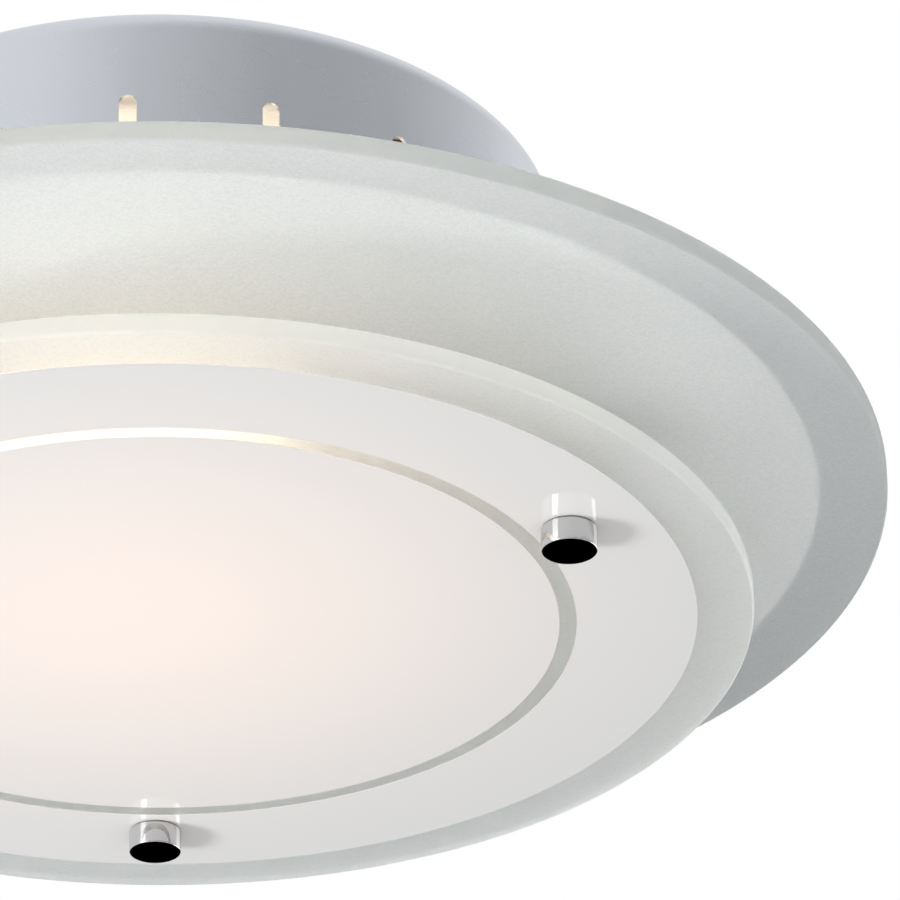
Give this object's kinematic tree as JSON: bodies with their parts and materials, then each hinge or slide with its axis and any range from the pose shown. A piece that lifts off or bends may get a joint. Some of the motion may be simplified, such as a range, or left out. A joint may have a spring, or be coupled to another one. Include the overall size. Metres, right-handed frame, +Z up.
{
  "type": "ceiling light",
  "caption": "Flush ceiling light: drawn round pan with vent slots, a satin glass disc under it and a smaller white-printed satin glass disc hung below on spacers with chrome cap nuts.",
  "frame": {"origin": "centre of the ring that touches the ceiling, on the pan's axis", "axes": "+Z up into the ceiling, +X along the lamps towards the second lampholder"},
  "size_m": [0.3999, 0.4, 0.1396],
  "materials": {
    "pan_paint": "satin silver-white paint",
    "black_rubber": "matt",
    "zinc_steel": "zinc plated",
    "silicone": "translucent, matt",
    "satin_glass": "acid-etched satin",
    "enamel": "fired glossy white enamel",
    "bright_chrome": "polished",
    "clear_plastic": "clear",
    "porcelain": "glazed",
    "brass": "drawn sheet",
    "opal_glass": "opal",
    "cap_aluminium": "rolled thread",
    "black_glass": "glossy",
    "white_plastic": "semi-gloss",
    "brown_insulation": "semi-matt",
    "blue_insulation": "semi-matt",
    "green_insulation": "green with a yellow stripe"
  },
  "bodies": {
    "light_base": {"ceiling_pan": "pan_paint", "flange_ring": "pan_paint", "cable_grommet": "black_rubber", "pan_studs": "zinc_steel", "upper_glass_bushes": "silicone", "upper_glass": "satin_glass", "upper_enamel": "enamel", "upper_glass_washers": "silicone", "spacer_sleeves": "bright_chrome", "lamp_bracket_1": "zinc_steel", "lamp_bracket_2": "zinc_steel", "bracket_rivets": "zinc_steel", "holder_screws": "zinc_steel", "lampholder_1": "porcelain", "lampholder_2": "porcelain", "screw_shell_1": "brass", "screw_shell_2": "brass", "centre_contact_1": "brass", "centre_contact_2": "brass", "terminal_block": "white_plastic", "terminal_tubes": "brass", "terminal_screws": "zinc_steel", "terminal_rivet": "zinc_steel", "earth_screw": "brass", "earth_tag": "zinc_steel", "live_leads": "brown_insulation", "neutral_leads": "blue_insulation", "earth_lead": "green_insulation"},
    "lower_glass": {"lower_glass_bushes": "silicone", "lower_glass": "satin_glass", "enamel_middle": "enamel", "enamel_band": "enamel"},
    "cap_washer_1": {"cap_washer_1": "clear_plastic"},
    "cap_nut_1": {"cap_nut_1": "bright_chrome"},
    "cap_washer_2": {"cap_washer_2": "clear_plastic"},
    "cap_nut_2": {"cap_nut_2": "bright_chrome"},
    "cap_washer_3": {"cap_washer_3": "clear_plastic"},
    "cap_nut_3": {"cap_nut_3": "bright_chrome"},
    "lamp_contact_1": {"bulb_contact_1": "brass"},
    "lamp_1": {"bulb_1": "opal_glass", "bulb_cap_1": "cap_aluminium", "bulb_insulator_1": "black_glass"},
    "lamp_contact_2": {"bulb_contact_2": "brass"},
    "lamp_2": {"bulb_2": "opal_glass", "bulb_cap_2": "cap_aluminium", "bulb_insulator_2": "black_glass"}
  },
  "joints": [
    {"name": "glass_lower", "type": "slide", "parent": "light_base", "child": "lower_glass", "axis": [0, 0, -1], "range_m": [0, 0.1]},
    {"name": "cap_1_travel", "type": "slide", "parent": "lower_glass", "child": "cap_washer_1", "axis": [0, 0, -1], "range_m": [0, 0.00526]},
    {"name": "cap_1_turn", "type": "hinge", "parent": "cap_washer_1", "child": "cap_nut_1", "pos_m": [0.10803, -0.06087, -0.1364], "axis": [0, 0, -1], "range_deg": [0, 2700]},
    {"name": "cap_2_travel", "type": "slide", "parent": "lower_glass", "child": "cap_washer_2", "axis": [0, 0, -1], "range_m": [0, 0.00526]},
    {"name": "cap_2_turn", "type": "hinge", "parent": "cap_washer_2", "child": "cap_nut_2", "pos_m": [-0.0013, 0.12399, -0.1364], "axis": [0, 0, -1], "range_deg": [0, 2700]},
    {"name": "cap_3_travel", "type": "slide", "parent": "lower_glass", "child": "cap_washer_3", "axis": [0, 0, -1], "range_m": [0, 0.00526]},
    {"name": "cap_3_turn", "type": "hinge", "parent": "cap_washer_3", "child": "cap_nut_3", "pos_m": [-0.10673, -0.06312, -0.1364], "axis": [0, 0, -1], "range_deg": [0, 2700]},
    {"name": "lamp_1_travel", "type": "slide", "parent": "light_base", "child": "lamp_contact_1", "axis": [1, 0, 0], "range_m": [0, 0.01815]},
    {"name": "lamp_1_turn", "type": "hinge", "parent": "lamp_contact_1", "child": "lamp_1", "pos_m": [0, -0.034, -0.05], "axis": [1, 0, 0], "range_deg": [0, 1800]},
    {"name": "lamp_2_travel", "type": "slide", "parent": "light_base", "child": "lamp_contact_2", "axis": [-1, 0, 0], "range_m": [0, 0.01815]},
    {"name": "lamp_2_turn", "type": "hinge", "parent": "lamp_contact_2", "child": "lamp_2", "pos_m": [0, 0.034, -0.05], "axis": [-1, 0, 0], "range_deg": [0, 1800]}
  ],
  "couplings": [
    {"joint": "cap_1_travel", "follows": "cap_1_turn", "m_per_rad": 0.00011141},
    {"joint": "cap_2_travel", "follows": "cap_2_turn", "m_per_rad": 0.00011141},
    {"joint": "cap_3_travel", "follows": "cap_3_turn", "m_per_rad": 0.00011141},
    {"joint": "lamp_1_travel", "follows": "lamp_1_turn", "m_per_rad": 0.00057757},
    {"joint": "lamp_2_travel", "follows": "lamp_2_turn", "m_per_rad": 0.00057757}
  ]
}
